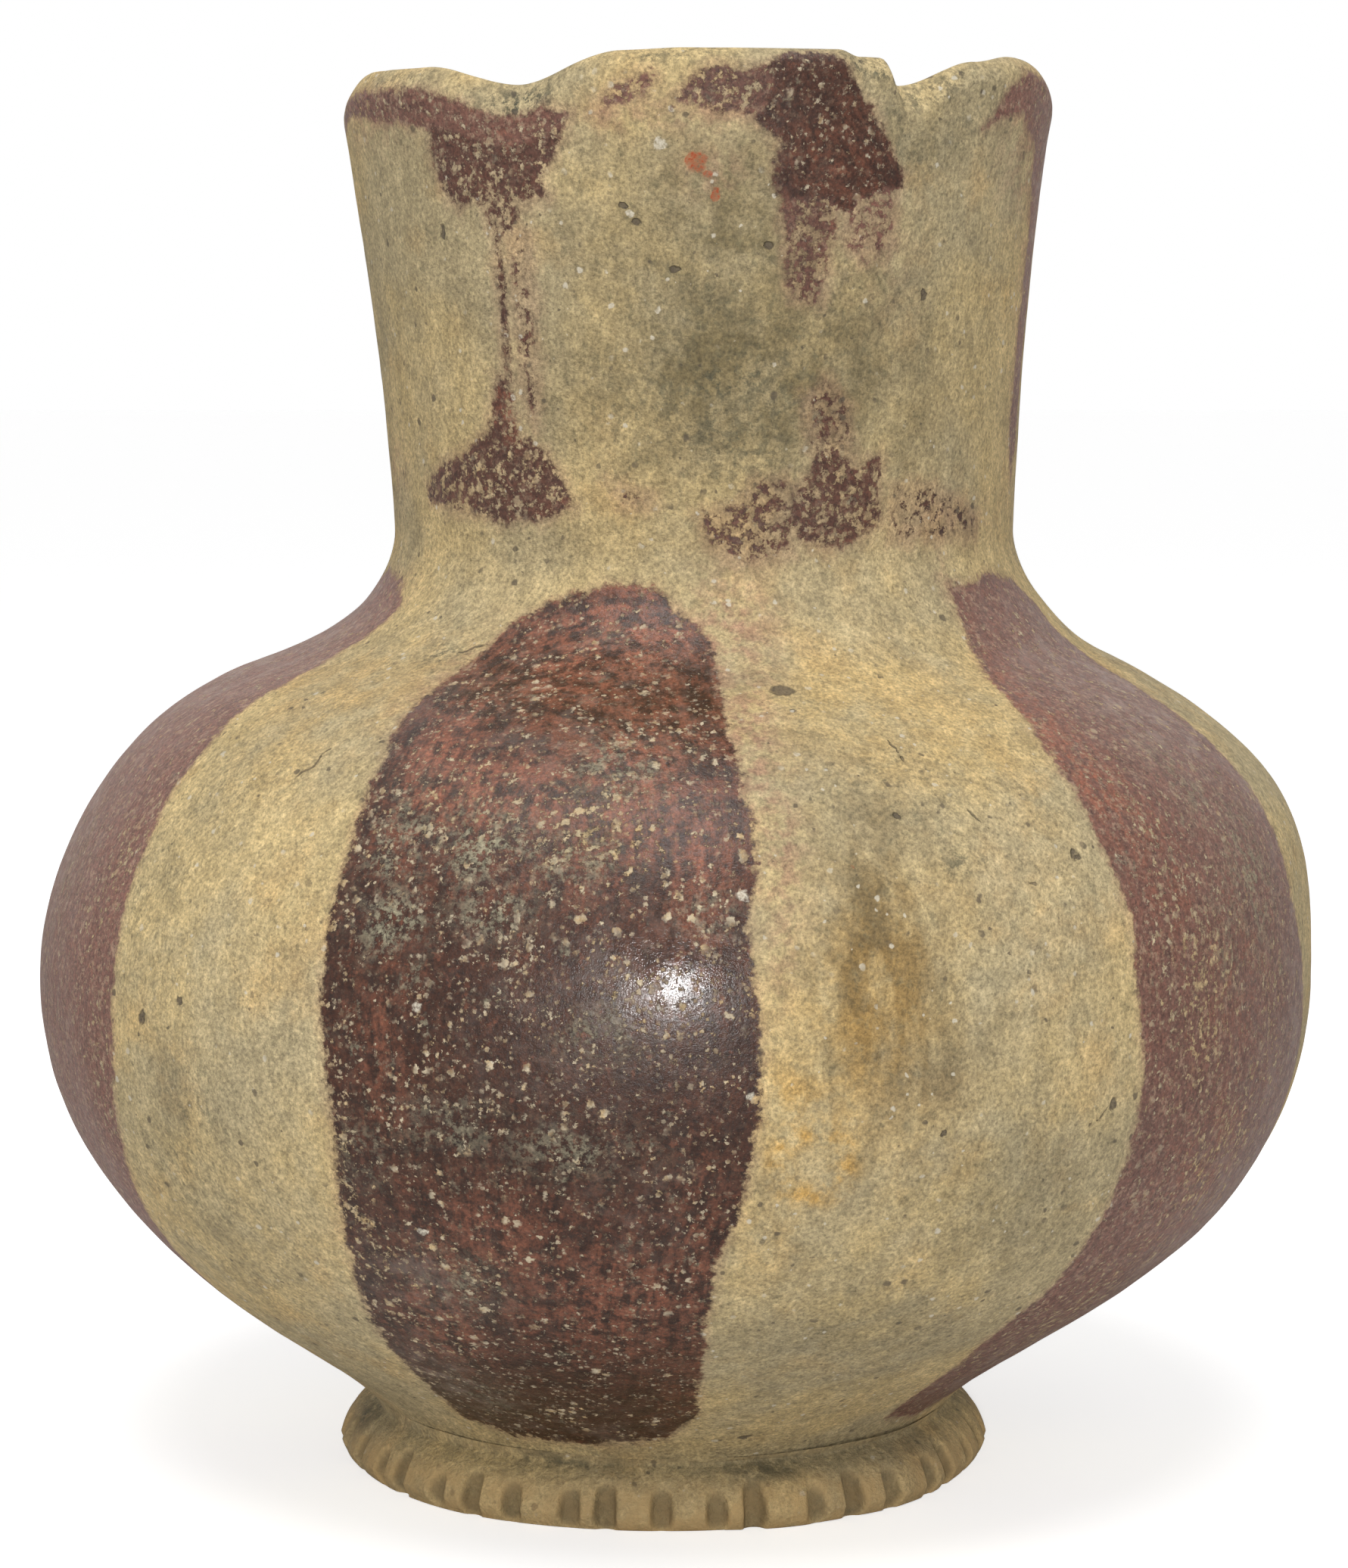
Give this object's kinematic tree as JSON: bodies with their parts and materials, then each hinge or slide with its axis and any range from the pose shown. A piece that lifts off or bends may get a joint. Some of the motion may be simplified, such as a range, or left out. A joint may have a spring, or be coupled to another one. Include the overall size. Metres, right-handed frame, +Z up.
{
  "type": "pottery jar",
  "caption": "Hand-built pottery jar with a squat round body, a wide neck, a finger-pinched rim and a notched ring foot, painted in dark slip.",
  "frame": {"origin": "on the surface that the jar stands on, under the middle of the belly", "axes": "+Z up out of the mouth, -Y towards the viewer, +X to the viewer's right"},
  "size_m": [0.1738, 0.1738, 0.1908],
  "materials": {
    "bare_clay": "matte",
    "foot_clay": "matte",
    "painted_body": "satin",
    "painted_neck": "satin"
  },
  "bodies": {
    "root": {"base": "bare_clay", "foot_ring": "foot_clay", "lower_wall": "painted_body", "belly_wall": "painted_body", "shoulder_wall": "painted_body", "neck": "painted_neck", "rim": "painted_neck"}
  },
  "joints": []
}
